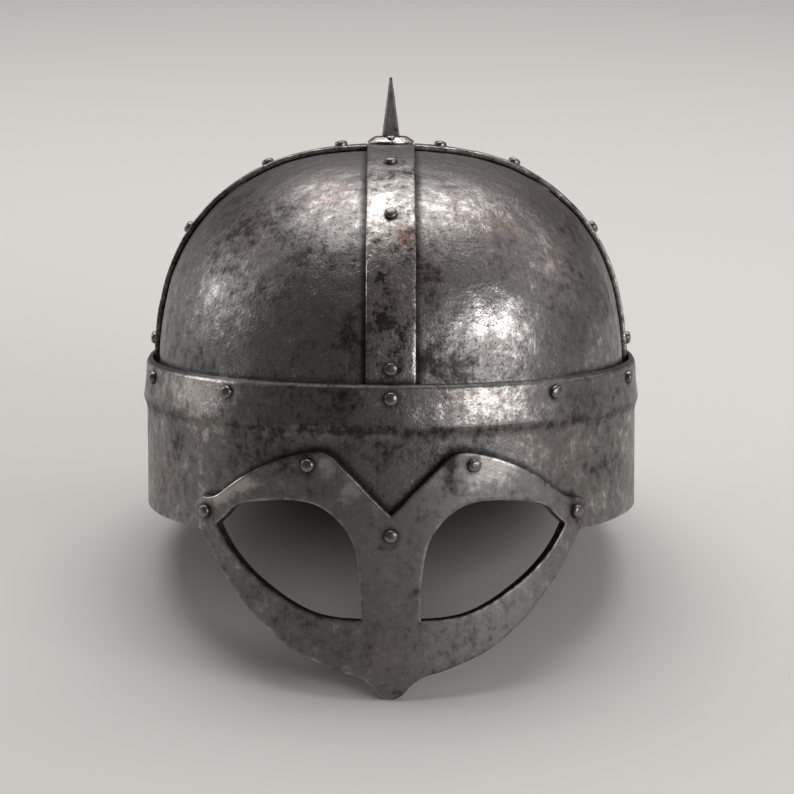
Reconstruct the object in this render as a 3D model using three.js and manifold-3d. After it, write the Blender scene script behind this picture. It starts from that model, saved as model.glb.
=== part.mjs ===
import * as THREE from 'three';
import { mergeVertices } from 'three/addons/utils/BufferGeometryUtils.js';
import { TessellateModifier } from 'three/addons/modifiers/TessellateModifier.js';
import Module from 'manifold-3d';

// A forged iron helmet with a spectacle guard. Sizes are in millimetres. It is described upright,
// its front towards -Y and the lower rim of its skirt at height 0, and leans back at the end onto
// the places that it rests on. Left and right are as seen from the front.

const wasm = await Module();
wasm.setup();

// Driving dimensions of the brow band: a deep skirt with a raised upper part.
const skirtHalfWidth = 100.2;
const skirtHalfLength = 118;
const planExponent = 2.15;
const bandHeight = 59.6;
const bandWall = 2.4;
const raisedDepth = 15.6;
const raisedRelief = 1.2;
const waistRelief = 0.36;
const waistHeight = 7;
const stepHeight = 4.3;
const topEdgeRounding = 2.2;

// Driving dimensions of the crown, its plates and straps. The rise is that of the straps' outside
// above the crown's foot, which is hidden inside the band.
const crownRise = 98.3;
const crownExponent = 2.51;
const crownTuck = 12.5;
const plateWall = 1.6;
const strapWall = 2;
const strapWidth = 18.9;

// Driving dimensions of the spectacle guard: heights and drops are from the skirt's rim, lengths
// are along its outside from the centre line.
const guardWall = 3.8;
const guardReach = 84.8;
const browHeight = 34.4;
const browWidth = 18.5;
const guardDrop = 58;
const chinHeight = 29.7;
const noseWidth = 22.6;
const templeWidth = 12.3;
const eyeCutMargin = 1.5;
const templeCutMargin = 3;

// Driving dimensions of the disc on top and its spike.
const discRadius = 9.5;
const discHeight = 3;
const spikeHeight = 23;
const spikeBaseWidth = 7.1;
const spikeTipWidth = 1;
const spikeTailRadius = 4;
const discPinLean = 0.4;

// Driving dimensions of the fasteners.
const clearance = 0.3;
const tailClearance = 0.6;
const rivet = { headRadius: 2.55, headHeight: 1.9, headBevel: 0.6, shankRadius: 1.2, tailRadius: 2.6 };
const pin = { headRadius: 1.6, headHeight: 0.9, headBevel: 0.4, shankRadius: 0.8, tailRadius: 0.8 };
const tailHeight = 1;
const bandRivetDrop = 5.2;
const noseRivetHeight = 3.5;

// Places of the rivets. On a strap they are shares of the way from the top of the crown down to its
// lowest rivet, which is a little above the band. On the band they are measured round it from the
// front and from the back.
const frontBackRivets = [0.336, 0.592, 1];
const frontBackRivetRise = 5.5;
const sideRivets = [0.143, 0.362, 0.66, 1];
const sideRivetRise = 6.1;
const bandRivets = [67.4, 127];

// How finely the curved walls are faceted.
const turnSteps = 48;
const fineSteps = 480;
const riseSteps = 12;
const edgeSteps = 2;
const fastenerSides = 8;
const discSides = 16;
const guardEdgeLength = 11;
const guardEdgeHalvings = 12;
const uprightEdgeShare = 0.2;
const weldDistance = 1e-3;

// The layers of the crown, as distances out from the skirt's outside.
const strapOuter = -bandWall - clearance;
const strapInner = strapOuter - strapWall;
const plateOuter = strapInner - clearance;
const plateInner = plateOuter - plateWall;
const crownFoot = bandHeight - crownTuck;
const crownTop = crownFoot + crownRise;
const seamWidth = 2 * (rivet.shankRadius + clearance);
const strapStack = strapOuter - plateInner;
const beyond = 2 * (skirtHalfWidth + skirtHalfLength);

const signedPower = (value, power) => Math.sign(value) * Math.abs(value) ** power;

// One point of the superellipse that the helmet is from above, `outset` outside the skirt.
function planPoint(turn, outset) {
  const sideways = signedPower(Math.sin(turn), 2 / planExponent);
  const forwards = signedPower(Math.cos(turn), 2 / planExponent);
  return new THREE.Vector3(
    (skirtHalfWidth + outset) * sideways,
    -(skirtHalfLength + outset) * forwards,
    0,
  );
}

// A path of straight facets, and the place and direction at a distance from its middle.
function facetedPath(points) {
  const path = new THREE.CurvePath();
  points.slice(1).forEach((point, index) => path.add(new THREE.LineCurve3(points[index], point)));
  return path;
}

function spotAlong(path, distance) {
  const share = 0.5 + distance / path.getLength();
  return { point: path.getPoint(share), tangent: path.getTangent(share) };
}

// Once round the helmet from the back, with the front in the middle.
function planPath(outset, steps) {
  const turns = Array.from({ length: steps + 1 }, (unused, step) => 2 * Math.PI * (step / steps - 0.5));
  return facetedPath(turns.map((turn) => planPoint(turn, outset)));
}

const sidewaysFrom = (tangent) => new THREE.Vector3(tangent.y, -tangent.x, 0);

// The arch of a strap's outside from foot to foot, seen flat in X and Z.
function archPath(halfSpan) {
  const angles = Array.from({ length: 2 * riseSteps + 1 }, (unused, step) => (
    (Math.PI / 2) * (step / riseSteps)
  ));
  return facetedPath(angles.map((angle) => new THREE.Vector3(
    -halfSpan * signedPower(Math.cos(angle), 2 / crownExponent),
    0,
    crownFoot + crownRise * signedPower(Math.sin(angle), 2 / crownExponent),
  )));
}

const upwardsFrom = (tangent) => new THREE.Vector3(-tangent.z, 0, tangent.x);

// The closed solid of a three.js geometry, without the slivers that a pole leaves.
function solidFrom(geometry) {
  const bare = geometry.index ? geometry.toNonIndexed() : geometry.clone();
  bare.deleteAttribute('normal');
  bare.deleteAttribute('uv');
  const merged = mergeVertices(bare, weldDistance);
  const corners = merged.index.array;
  const triangles = [];
  for (let first = 0; first < corners.length; first += 3) {
    const [a, b, c] = corners.slice(first, first + 3);
    if (a !== b && b !== c && a !== c) triangles.push(a, b, c);
  }
  return new wasm.Manifold(new wasm.Mesh({
    numProp: 3,
    vertProperties: new Float32Array(merged.attributes.position.array),
    triVerts: new Uint32Array(triangles),
  }));
}

function geometryFrom(solid) {
  const mesh = solid.getMesh();
  const geometry = new THREE.BufferGeometry();
  geometry.setAttribute('position', new THREE.Float32BufferAttribute(mesh.vertProperties, 3));
  geometry.setIndex(Array.from(mesh.triVerts));
  return geometry;
}

// A box between two opposite corners, to cut with.
function boxBetween(near, far) {
  const space = new THREE.Box3().setFromPoints([near, far]);
  const size = space.getSize(new THREE.Vector3());
  const middle = space.getCenter(new THREE.Vector3());
  const box = new THREE.BoxGeometry(size.x, size.y, size.z);
  return solidFrom(box.translate(middle.x, middle.y, middle.z));
}

// Carries a profile once round the plan. A row of the profile has its share of the way from the
// middle line out to the wall, the wall's outset there, and its height.
function revolveRoundPlan(profile) {
  const outline = profile.map((row) => new THREE.Vector2(row.share, row.height));
  const lathe = new THREE.LatheGeometry(outline, turnSteps);
  const places = lathe.attributes.position;
  for (let step = 0; step <= turnSteps; step += 1) {
    profile.forEach((row, index) => {
      const spot = planPoint(2 * Math.PI * (step / turnSteps), row.outset).multiplyScalar(row.share);
      places.setXYZ(step * profile.length + index, spot.x, spot.y, row.height);
    });
  }
  return solidFrom(lathe);
}

// The full bowl of the crown up to one of its layers.
function bowl(outset, foot) {
  const rise = crownRise + outset - strapOuter;
  const profile = [{ share: 0, outset, height: foot }, { share: 1, outset, height: foot }];
  for (let step = 0; step <= riseSteps; step += 1) {
    const angle = (Math.PI / 2) * (step / riseSteps);
    const share = step === riseSteps ? 0 : Math.cos(angle) ** (2 / crownExponent);
    const height = crownFoot + rise * Math.sin(angle) ** (2 / crownExponent);
    profile.push({ share, outset, height });
  }
  return revolveRoundPlan(profile);
}

function crownShell(outer, inner) {
  return bowl(outer, crownFoot).subtract(bowl(inner, crownFoot - plateWall));
}

// The part of the plates' shell in one quarter, up to the seams under the straps.
function crownPlate(shell, sideways, backwards) {
  const near = new THREE.Vector3(sideways * seamWidth / 2, backwards * seamWidth / 2, 0);
  const far = new THREE.Vector3(sideways * beyond, backwards * beyond, beyond);
  return shell.intersect(boxBetween(near, far));
}

function frontBackStrap(shell) {
  const near = new THREE.Vector3(-strapWidth / 2, -beyond, 0);
  const far = new THREE.Vector3(strapWidth / 2, beyond, beyond);
  return shell.intersect(boxBetween(near, far));
}

// Each half of the side strap butts against the strap that runs from front to back.
function sideStrap(shell, sideways) {
  const near = new THREE.Vector3(sideways * (strapWidth / 2 + clearance), -strapWidth / 2, 0);
  const far = new THREE.Vector3(sideways * beyond, strapWidth / 2, beyond);
  return shell.intersect(boxBetween(near, far));
}

// The band's raised part flares from a slight waist down to a ridge, and a short step leads back
// to the skirt. Its top edge is rounded over towards the crown.
const ridgeHeight = bandHeight - raisedDepth;
const roundingFoot = bandHeight - topEdgeRounding;

function browBand() {
  const profile = [
    { outset: -bandWall, height: 0 },
    { outset: 0, height: 0 },
    { outset: 0, height: ridgeHeight - stepHeight },
    { outset: raisedRelief, height: ridgeHeight },
    { outset: waistRelief, height: ridgeHeight + waistHeight },
  ];
  for (let step = 0; step <= edgeSteps; step += 1) {
    const angle = (Math.PI / 2) * (step / edgeSteps);
    profile.push({
      outset: -bandWall * (1 - Math.cos(angle)),
      height: roundingFoot + topEdgeRounding * Math.sin(angle),
    });
  }
  profile.push(profile[0]);
  return revolveRoundPlan(profile.map((row) => ({ share: 1, ...row })));
}

// The guard's flat pattern. Its upper edge is in shares of its reach and brow height, from the
// notch over the nose to the end at the temple.
const guardUpperEdge = [
  { along: 0.238, up: 0.901 },
  { along: 0.276, up: 0.968 },
  { along: 0.33, up: 1.004 },
  { along: 0.434, up: 0.959 },
  { along: 0.518, up: 0.892 },
  { along: 0.613, up: 0.799 },
  { along: 0.706, up: 0.68 },
  { along: 0.787, up: 0.555 },
  { along: 0.85, up: 0.453 },
  { along: 0.907, up: 0.41 },
  { along: 0.954, up: 0.405 },
  { along: 0.99, up: 0.34 },
  { along: 1, up: 0.24 },
  { along: 0.985, up: 0.13 },
];
const guardNotch = 0.32;

// Its lower edge is in shares of its reach and its drop, from the temple to the nub.
const guardLowerEdge = [
  { along: 0.954, down: -0.02 },
  { along: 0.861, down: 0.166 },
  { along: 0.749, down: 0.345 },
  { along: 0.62, down: 0.524 },
  { along: 0.45, down: 0.7 },
  { along: 0.261, down: 0.814 },
  { along: 0.153, down: 0.857 },
  { along: 0.106, down: 0.897 },
  { along: 0.079, down: 0.933 },
  { along: 0.057, down: 0.972 },
  { along: 0.03, down: 1 },
];

// The eye hole is in shares of its length from the nose and its height from its floor: first the
// edge from the foot of the nose over the brow to the temple, then the cheek's edge back.
const eyeUpperEdge = [
  { along: 0, up: 0 },
  { along: 0.002, up: 0.18 },
  { along: 0.01, up: 0.38 },
  { along: 0.04, up: 0.615 },
  { along: 0.1, up: 0.775 },
  { along: 0.19, up: 0.9 },
  { along: 0.3, up: 0.978 },
  { along: 0.44, up: 1 },
  { along: 0.6, up: 0.985 },
  { along: 0.75, up: 0.955 },
  { along: 0.86, up: 0.9 },
  { along: 0.93, up: 0.815 },
  { along: 1, up: 0.742 },
];
const eyeLowerEdge = [
  { along: 1, up: 0.742 },
  { along: 0.955, up: 0.655 },
  { along: 0.87, up: 0.52 },
  { along: 0.74, up: 0.37 },
  { along: 0.6, up: 0.245 },
  { along: 0.45, up: 0.13 },
  { along: 0.3, up: 0.045 },
  { along: 0.15, up: 0.008 },
  { along: 0, up: 0 },
];

const mirrored = (points) => points.map((point) => new THREE.Vector2(-point.x, point.y)).reverse();

// The outline runs from the notch down its left half and up its right half.
function guardOutline() {
  const upper = guardUpperEdge.map(
    (row) => new THREE.Vector2(row.along * guardReach, row.up * browHeight),
  );
  const lower = guardLowerEdge.map(
    (row) => new THREE.Vector2(row.along * guardReach, -row.down * guardDrop),
  );
  const rightHalf = [...upper, ...lower].reverse();
  const leftHalf = mirrored(rightHalf);
  const outline = new THREE.Shape();
  outline.moveTo(0, guardNotch * browHeight);
  outline.lineTo(leftHalf[0].x, leftHalf[0].y);
  outline.splineThru(leftHalf.slice(1));
  outline.lineTo(rightHalf[0].x, rightHalf[0].y);
  outline.splineThru(rightHalf.slice(1));
  outline.lineTo(0, guardNotch * browHeight);
  return outline;
}

// An eye hole, or the cut that the skirt has behind it, wider by a margin and more so at the temple.
function eyeOutline(sideways, margin, templeMargin) {
  const nose = noseWidth / 2 - margin;
  const length = guardReach - templeWidth + templeMargin - nose;
  const floor = chinHeight - guardDrop - margin;
  const height = browHeight - browWidth + margin - floor;
  const place = (row) => new THREE.Vector2(
    sideways * (nose + row.along * length),
    floor + row.up * height,
  );
  const start = place(eyeUpperEdge[0]);
  const outline = new THREE.Shape();
  outline.moveTo(start.x, start.y);
  outline.splineThru(eyeUpperEdge.slice(1).map(place));
  outline.splineThru(eyeLowerEdge.slice(1).map(place));
  return outline;
}

// Cuts a plate flat and bends it round the skirt, its outer face where the guard's is, so its
// edges stay square to its faces. It bends along its length only, so heights count for less when
// its long edges are divided.
function bentPlate(outline, wall) {
  const flat = new THREE.ExtrudeGeometry(outline, {
    depth: wall,
    bevelEnabled: false,
    curveSegments: 1,
  });
  flat.scale(1, uprightEdgeShare, 1);
  const plate = new TessellateModifier(guardEdgeLength, guardEdgeHalvings).modify(flat);
  plate.scale(1, 1 / uprightEdgeShare, 1);
  const path = planPath(clearance + guardWall, fineSteps);
  const places = plate.attributes.position;
  for (let index = 0; index < places.count; index += 1) {
    const { point, tangent } = spotAlong(path, places.getX(index));
    const spot = point.addScaledVector(sidewaysFrom(tangent), places.getZ(index) - wall);
    places.setXYZ(index, spot.x, spot.y, places.getY(index));
  }
  return solidFrom(plate);
}

function spectacleGuard() {
  const pattern = guardOutline();
  pattern.holes.push(eyeOutline(1, 0, 0), eyeOutline(-1, 0, 0));
  return bentPlate(pattern, guardWall);
}

// The skirt is cut away behind the eye holes, so that its own edge stays out of sight.
function eyeCut(sideways) {
  const depth = guardWall + clearance + 2 * bandWall;
  return bentPlate(eyeOutline(sideways, eyeCutMargin, templeCutMargin), depth);
}

// The disc is a low dome with a rounded edge, in shares of its radius and height.
const discProfile = [
  { across: 0, up: 0 },
  { across: 1, up: 0 },
  { across: 0.99, up: 0.2 },
  { across: 0.895, up: 0.54 },
  { across: 0.77, up: 0.75 },
  { across: 0.6, up: 0.9 },
  { across: 0.35, up: 0.98 },
  { across: 0, up: 1 },
];
const discPinSeat = { across: 0.77, up: 0.76 };

function turned(rows) {
  const outline = rows.map(([radius, height]) => new THREE.Vector2(radius, height));
  return new THREE.LatheGeometry(outline, fastenerSides);
}

function spikeDisc() {
  const outline = discProfile.map(
    (row) => new THREE.Vector2(row.across * discRadius, row.up * discHeight),
  );
  const disc = new THREE.LatheGeometry(outline, discSides);
  disc.rotateX(Math.PI / 2);
  return solidFrom(disc.translate(0, 0, crownTop + clearance));
}

// A fastener of a kind, along Y: its head above the surface, its shank through the stack of
// plates and its tail below them.
function fastenerGeometry(kind, grip) {
  const under = -grip - tailClearance;
  const headTop = clearance + kind.headHeight;
  return turned([
    [0, under - tailHeight],
    [kind.tailRadius, under],
    [kind.shankRadius, under],
    [kind.shankRadius, clearance],
    [kind.headRadius, clearance],
    [kind.headRadius, headTop - kind.headBevel],
    [kind.headRadius - kind.headBevel, headTop],
    [0, headTop],
  ]);
}

const along = (direction) => new THREE.Quaternion().setFromUnitVectors(
  new THREE.Vector3(0, 1, 0),
  direction,
);

// The hole that a fastener needs, from its tail to as far above its seat.
function holeFor(fastener) {
  const radius = fastener.kind.shankRadius + clearance;
  const length = 2 * (fastener.grip + tailClearance + tailHeight);
  const hole = new THREE.CylinderGeometry(radius, radius, length, fastenerSides);
  hole.applyQuaternion(along(fastener.outward));
  return solidFrom(hole.translate(fastener.seat.x, fastener.seat.y, fastener.seat.z));
}

// A square point on a round tang that goes down through the stack and is spread below it.
function spikeSolid(foot) {
  const toRadius = Math.SQRT1_2;
  const point = new THREE.CylinderGeometry(
    spikeTipWidth * toRadius,
    spikeBaseWidth * toRadius,
    spikeHeight,
    4,
  );
  point.rotateY(Math.PI / 4);
  point.translate(0, spikeHeight / 2, 0);
  const under = -discHeight - strapWall - plateWall - 3 * clearance - tailClearance;
  const tang = turned([
    [0, under - tailHeight],
    [spikeTailRadius, under],
    [rivet.shankRadius, under],
    [rivet.shankRadius, spikeBaseWidth / 2],
    [0, spikeBaseWidth / 2],
  ]);
  point.rotateX(Math.PI / 2);
  tang.rotateX(Math.PI / 2);
  const spike = solidFrom(point).add(solidFrom(tang));
  return spike.translate([0, 0, foot]);
}

const fasteners = [];

// Strap rivets: `heading` turns the arch from the right-hand side to where the strap runs. The
// strap goes on down behind the band for the depth of the crown's tuck.
function addStrapRivets(name, heading, halfSpan, shares, rise, strap) {
  const arch = archPath(halfSpan);
  const lowest = arch.getLength() / 2 - crownTuck - rise;
  const axis = new THREE.Vector3(0, 0, 1);
  shares.forEach((share, index) => {
    const { point, tangent } = spotAlong(arch, share * lowest);
    fasteners.push({
      name: `rivet_${name}_${index + 1}`,
      kind: rivet,
      seat: point.applyAxisAngle(axis, heading),
      outward: upwardsFrom(tangent).applyAxisAngle(axis, heading),
      grip: strapStack,
      through: [strap],
    });
  });
}

const halfWidthOfStrap = skirtHalfWidth + strapOuter;
const halfLengthOfStrap = skirtHalfLength + strapOuter;
for (const [end, heading] of [['front', -Math.PI / 2], ['back', Math.PI / 2]]) {
  const name = `strap_${end}`;
  addStrapRivets(name, heading, halfLengthOfStrap, frontBackRivets, frontBackRivetRise, 'front_back_strap');
}
for (const [side, heading] of [['right', 0], ['left', Math.PI]]) {
  const name = `strap_${side}`;
  addStrapRivets(name, heading, halfWidthOfStrap, sideRivets, sideRivetRise, `side_strap_${side}`);
}

// Band rivets sit on the raised part, above its waist, where it leans in a little. They hold the
// crown in the band. Those of the back are those of the front, turned half round.
const bandRivetHeight = bandHeight - bandRivetDrop;
const bandLean = waistRelief / (roundingFoot - ridgeHeight - waistHeight);
const bandRivetOutset = bandLean * (roundingFoot - bandRivetHeight);
const rivetRing = planPath(bandRivetOutset, turnSteps);

function addBandRivet(name, distance, halfTurns, through) {
  const axis = new THREE.Vector3(0, 0, 1);
  const { point, tangent } = spotAlong(rivetRing, distance);
  const outward = sidewaysFrom(tangent).setZ(bandLean).normalize();
  fasteners.push({
    name: `rivet_band_${name}`,
    kind: rivet,
    seat: point.setZ(bandRivetHeight).applyAxisAngle(axis, halfTurns * Math.PI),
    outward: outward.applyAxisAngle(axis, halfTurns * Math.PI),
    grip: strapStack + clearance + bandWall + bandRivetOutset,
    through: ['brow_band', through],
  });
}

for (const [end, halfTurns] of [['front', 0], ['back', 1]]) {
  addBandRivet(end, 0, halfTurns, 'front_back_strap');
  for (const [side, sign] of [['right', 1], ['left', -1]]) {
    bandRivets.forEach((distance, index) => {
      const way = halfTurns ? -sign : sign;
      addBandRivet(`${end}_${side}_${index + 1}`, way * distance, halfTurns, `crown_plate_${end}_${side}`);
    });
  }
}

// Guard rivets, in shares of the guard's reach and brow height, apart from the one over the nose.
const guardRivets = [
  { name: 'brow', along: 0.37, up: 0.858 },
  { name: 'temple', along: 0.922, up: 0.25 },
];

function addGuardRivet(name, distance, height) {
  const { point, tangent } = spotAlong(planPath(clearance + guardWall, fineSteps), distance);
  fasteners.push({
    name: `rivet_guard_${name}`,
    kind: rivet,
    seat: point.setZ(height),
    outward: sidewaysFrom(tangent),
    grip: guardWall + clearance + bandWall,
    through: ['spectacle_guard', 'brow_band'],
  });
}

addGuardRivet('nose', 0, noseRivetHeight);
for (const row of guardRivets) {
  addGuardRivet(`${row.name}_right`, row.along * guardReach, row.up * browHeight);
  addGuardRivet(`${row.name}_left`, -row.along * guardReach, row.up * browHeight);
}

// The disc's two pins stand square to its sloping edge, in front and behind.
for (const [name, backwards] of [['front', -1], ['back', 1]]) {
  const ring = backwards * discPinSeat.across * discRadius;
  const height = discPinSeat.up * discHeight;
  fasteners.push({
    name: `pin_disc_${name}`,
    kind: pin,
    seat: new THREE.Vector3(0, ring, crownTop + clearance + height),
    outward: new THREE.Vector3(0, backwards * Math.sin(discPinLean), Math.cos(discPinLean)),
    grip: height + strapWall,
    through: ['spike_disc', 'front_back_strap'],
  });
}

// The spike's tang needs the same kind of hole as a rivet.
const tang = {
  kind: rivet,
  seat: new THREE.Vector3(0, 0, crownTop),
  outward: new THREE.Vector3(0, 0, 1),
  grip: discHeight + strapWall,
  through: ['spike_disc', 'front_back_strap'],
};

const iron = (color, roughness) => new THREE.MeshStandardMaterial({ color, roughness, metalness: 1 });
const plateIron = iron('#6f6c69', 0.42);
const strapIron = iron('#7b7875', 0.38);
const bandIron = iron('#706d6a', 0.4);
const guardIron = iron('#696663', 0.45);
const rivetIron = iron('#5f5d5b', 0.35);
const spikeIron = iron('#4c4a49', 0.6);

const plateShell = crownShell(plateOuter, plateInner);
const strapShell = crownShell(strapOuter, strapInner);
const pieces = new Map();
for (const [side, sideways] of [['right', 1], ['left', -1]]) {
  pieces.set(`crown_plate_front_${side}`, [crownPlate(plateShell, sideways, -1), plateIron]);
  pieces.set(`crown_plate_back_${side}`, [crownPlate(plateShell, sideways, 1), plateIron]);
  pieces.set(`side_strap_${side}`, [sideStrap(strapShell, sideways), strapIron]);
}
pieces.set('front_back_strap', [frontBackStrap(strapShell), strapIron]);
pieces.set('brow_band', [browBand().subtract(eyeCut(1)).subtract(eyeCut(-1)), bandIron]);
pieces.set('spectacle_guard', [spectacleGuard(), guardIron]);
pieces.set('spike_disc', [spikeDisc(), strapIron]);
pieces.set('spike', [spikeSolid(crownTop + discHeight + 2 * clearance), spikeIron]);

for (const fastener of [...fasteners, tang]) {
  for (const name of fastener.through) {
    const [solid, material] = pieces.get(name);
    pieces.set(name, [solid.subtract(holeFor(fastener)), material]);
  }
}

const helmet = new THREE.Group();
for (const [name, [solid, material]] of pieces) {
  const mesh = new THREE.Mesh(geometryFrom(solid), material);
  mesh.name = name;
  helmet.add(mesh);
}
for (const fastener of fasteners) {
  const geometry = fastenerGeometry(fastener.kind, fastener.grip);
  const mesh = new THREE.Mesh(geometryFrom(solidFrom(geometry)), rivetIron);
  mesh.name = fastener.name;
  mesh.position.copy(fastener.seat);
  mesh.quaternion.copy(along(fastener.outward));
  helmet.add(mesh);
}

// Set down by itself, the helmet leans back: it rests on the inner edge of the guard's nub in
// front and on the outer edge of the skirt's rim behind.
helmet.rotation.x = -Math.atan2(guardDrop, 2 * skirtHalfLength + clearance);
const reach = new THREE.Box3().setFromObject(helmet, true);
const middle = reach.getCenter(new THREE.Vector3());
helmet.position.set(-middle.x, -middle.y, -reach.min.z);

const part = new THREE.Group();
part.add(helmet);

export default part;
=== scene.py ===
# %% [markdown]
# # A riveted norse iron helmet
# The real helmet is built like a small boat: four curved plates make the crown, flat straps cover
# their seams, a deep band holds everything together at the brow, and a spectacle guard hangs in
# front of the eyes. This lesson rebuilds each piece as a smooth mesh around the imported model,
# which gives every place and size, and then finishes the iron with node materials.

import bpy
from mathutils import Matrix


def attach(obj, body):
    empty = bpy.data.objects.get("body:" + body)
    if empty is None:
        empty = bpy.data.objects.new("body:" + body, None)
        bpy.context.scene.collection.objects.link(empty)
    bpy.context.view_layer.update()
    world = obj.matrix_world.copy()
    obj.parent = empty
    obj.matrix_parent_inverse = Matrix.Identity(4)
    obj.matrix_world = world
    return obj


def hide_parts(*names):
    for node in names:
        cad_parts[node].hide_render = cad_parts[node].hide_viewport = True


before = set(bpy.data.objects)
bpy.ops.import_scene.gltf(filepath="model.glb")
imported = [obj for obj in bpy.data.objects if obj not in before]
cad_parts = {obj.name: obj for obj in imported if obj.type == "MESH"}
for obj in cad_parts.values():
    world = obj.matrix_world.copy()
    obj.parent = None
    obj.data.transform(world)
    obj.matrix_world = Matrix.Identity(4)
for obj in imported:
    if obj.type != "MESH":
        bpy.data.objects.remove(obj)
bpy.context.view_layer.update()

import math

import bmesh
import bpy
import numpy as np
from mathutils import Matrix, Vector, noise
from mathutils.geometry import interpolate_bezier
from mathutils.kdtree import KDTree

# %% [markdown]
# ## Sizes
# A smith thinks in millimetres, so the lesson does too, and one factor turns them to Blender's
# metres at the end. The helmet is described upright: its front towards -Y, and its skirt's rim at
# height 0. Every layer of iron is named by its outset, its distance out from the skirt's outside.
# The plan and the crown's arch are superellipses, each with an exponent: 2 would be an oval, and
# more is squarer. Sizes that only one piece needs are given where that piece is made.

# %% Sizes in millimetres
MM = 0.001
SKIRT_HALF_WIDTH = 100.2
SKIRT_HALF_LENGTH = 118
PLAN_EXPONENT = 2.15
BAND_HEIGHT = 59.6
BAND_WALL = 2.4
CROWN_RISE = 98.3
CROWN_EXPONENT = 2.51
CROWN_TUCK = 12.5
PLATE_WALL = 1.6
STRAP_WALL = 2
STRAP_WIDTH = 18.9
GUARD_WALL = 3.8
GUARD_DROP = 58
CLEARANCE = 0.3
STRAP_OUTSET = -BAND_WALL - CLEARANCE
PLATE_OUTSET = STRAP_OUTSET - STRAP_WALL - CLEARANCE
GUARD_OUTSET = CLEARANCE + GUARD_WALL
CROWN_FOOT = BAND_HEIGHT - CROWN_TUCK
CROWN_TOP = CROWN_FOOT + CROWN_RISE
print("crown top at", CROWN_TOP, "mm above the rim")

# %% [markdown]
# ## Where the helmet stands
# Set down by itself, the helmet leans back until the nub of its guard and the back of its rim
# touch the floor. The lean follows from those two sizes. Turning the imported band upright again
# shows where its middle and its rim are, so one matrix takes all pieces to their place.

# %% The matrix that stands the helmet on the floor
LEAN = math.atan2(GUARD_DROP, 2 * SKIRT_HALF_LENGTH + CLEARANCE)
lean_back = Matrix.Rotation(-LEAN, 4, "X")
packed_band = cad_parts["brow_band"].data
band_points = [lean_back.inverted() @ vertex.co for vertex in packed_band.vertices]
band_lows = Vector(min(point[axis] for point in band_points) for axis in range(3))
band_highs = Vector(max(point[axis] for point in band_points) for axis in range(3))
band_middle = Vector((0, (band_lows.y + band_highs.y) / 2, band_lows.z))
stand = lean_back @ Matrix.Translation(band_middle) @ Matrix.Scale(MM, 4)
print("leans back", round(math.degrees(LEAN), 2), "degrees, rim's middle at", stand.translation)

# %% [markdown]
# ## Camera
# The photograph looks at the helmet from just above its brow with a long lens. The camera is
# placed in the helmet's own upright frame and leans back with it, so it sees what the photograph
# sees, and it ends up well above the floor. The small shift is the photograph's own framing.

# %% Camera
IMAGE_SIZE = 794
FOCAL_PIXELS = 2808
SENSOR_WIDTH = 36
MIDDLE_PIXEL = 390.87
CAMERA_DISTANCE = 1150
CAMERA_HEIGHT = 179.5
CAMERA_PITCH = math.radians(6.87)
camera_data = bpy.data.cameras.new("camera")
camera_data.sensor_width = SENSOR_WIDTH
camera_data.lens = FOCAL_PIXELS / IMAGE_SIZE * SENSOR_WIDTH
camera_data.shift_x = (IMAGE_SIZE / 2 - MIDDLE_PIXEL) / IMAGE_SIZE
camera = bpy.data.objects.new("camera", camera_data)
camera.location = stand @ Vector((0, -CAMERA_DISTANCE, CAMERA_HEIGHT))
camera.rotation_euler = (math.pi / 2 - CAMERA_PITCH - LEAN, 0, 0)
bpy.context.scene.collection.objects.link(camera)
bpy.context.scene.camera = camera
print("camera at", camera.location, "lens", round(camera_data.lens, 1))

# %% [markdown]
# ## Colours and nodes
# Colours are picked as sRGB hex values, because that is what the eye compares, and one function
# turns them to the linear values that a shader needs. One more function adds any node with its
# settings and links. Sums and products come up again and again in a recipe, so each has a helper
# too, and a material stays readable from top to bottom.

# %% Helpers for materials
def linear(hex_colour):
    values = [int(hex_colour[start:start + 2], 16) / 255 for start in (1, 3, 5)]
    return [v / 12.92 if v <= 0.04045 else ((v + 0.055) / 1.055) ** 2.4 for v in values] + [1]


def add(tree, kind, inputs=None, **settings):
    """Adds one node: settings are its own options, inputs are values or other nodes' outputs."""
    node = tree.nodes.new(kind)
    for name, value in settings.items():
        setattr(node, name, value)
    for socket, value in (inputs or {}).items():
        if isinstance(value, bpy.types.NodeSocket):
            tree.links.new(value, node.inputs[socket])
        else:
            node.inputs[socket].default_value = value
    return node


def product(tree, first, *others):
    """All factors multiplied: each is a value or another node's output."""
    result = first
    for other in others:
        result = add(tree, "ShaderNodeMath", {0: result, 1: other}, operation="MULTIPLY").outputs[0]
    return result


def total(tree, rows):
    """The sum of values, each counted from its middle and given a weight."""
    result = None
    for value, middle, weight in rows:
        offset = add(tree, "ShaderNodeMath", {0: value, 1: middle}, operation="SUBTRACT").outputs[0]
        term = product(tree, offset, weight)
        if result:
            term = add(tree, "ShaderNodeMath", {0: result, 1: term}, operation="ADD").outputs[0]
        result = term
    return result


print("mid iron grey in linear light", [round(value, 3) for value in linear("#8b8783")])
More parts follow.
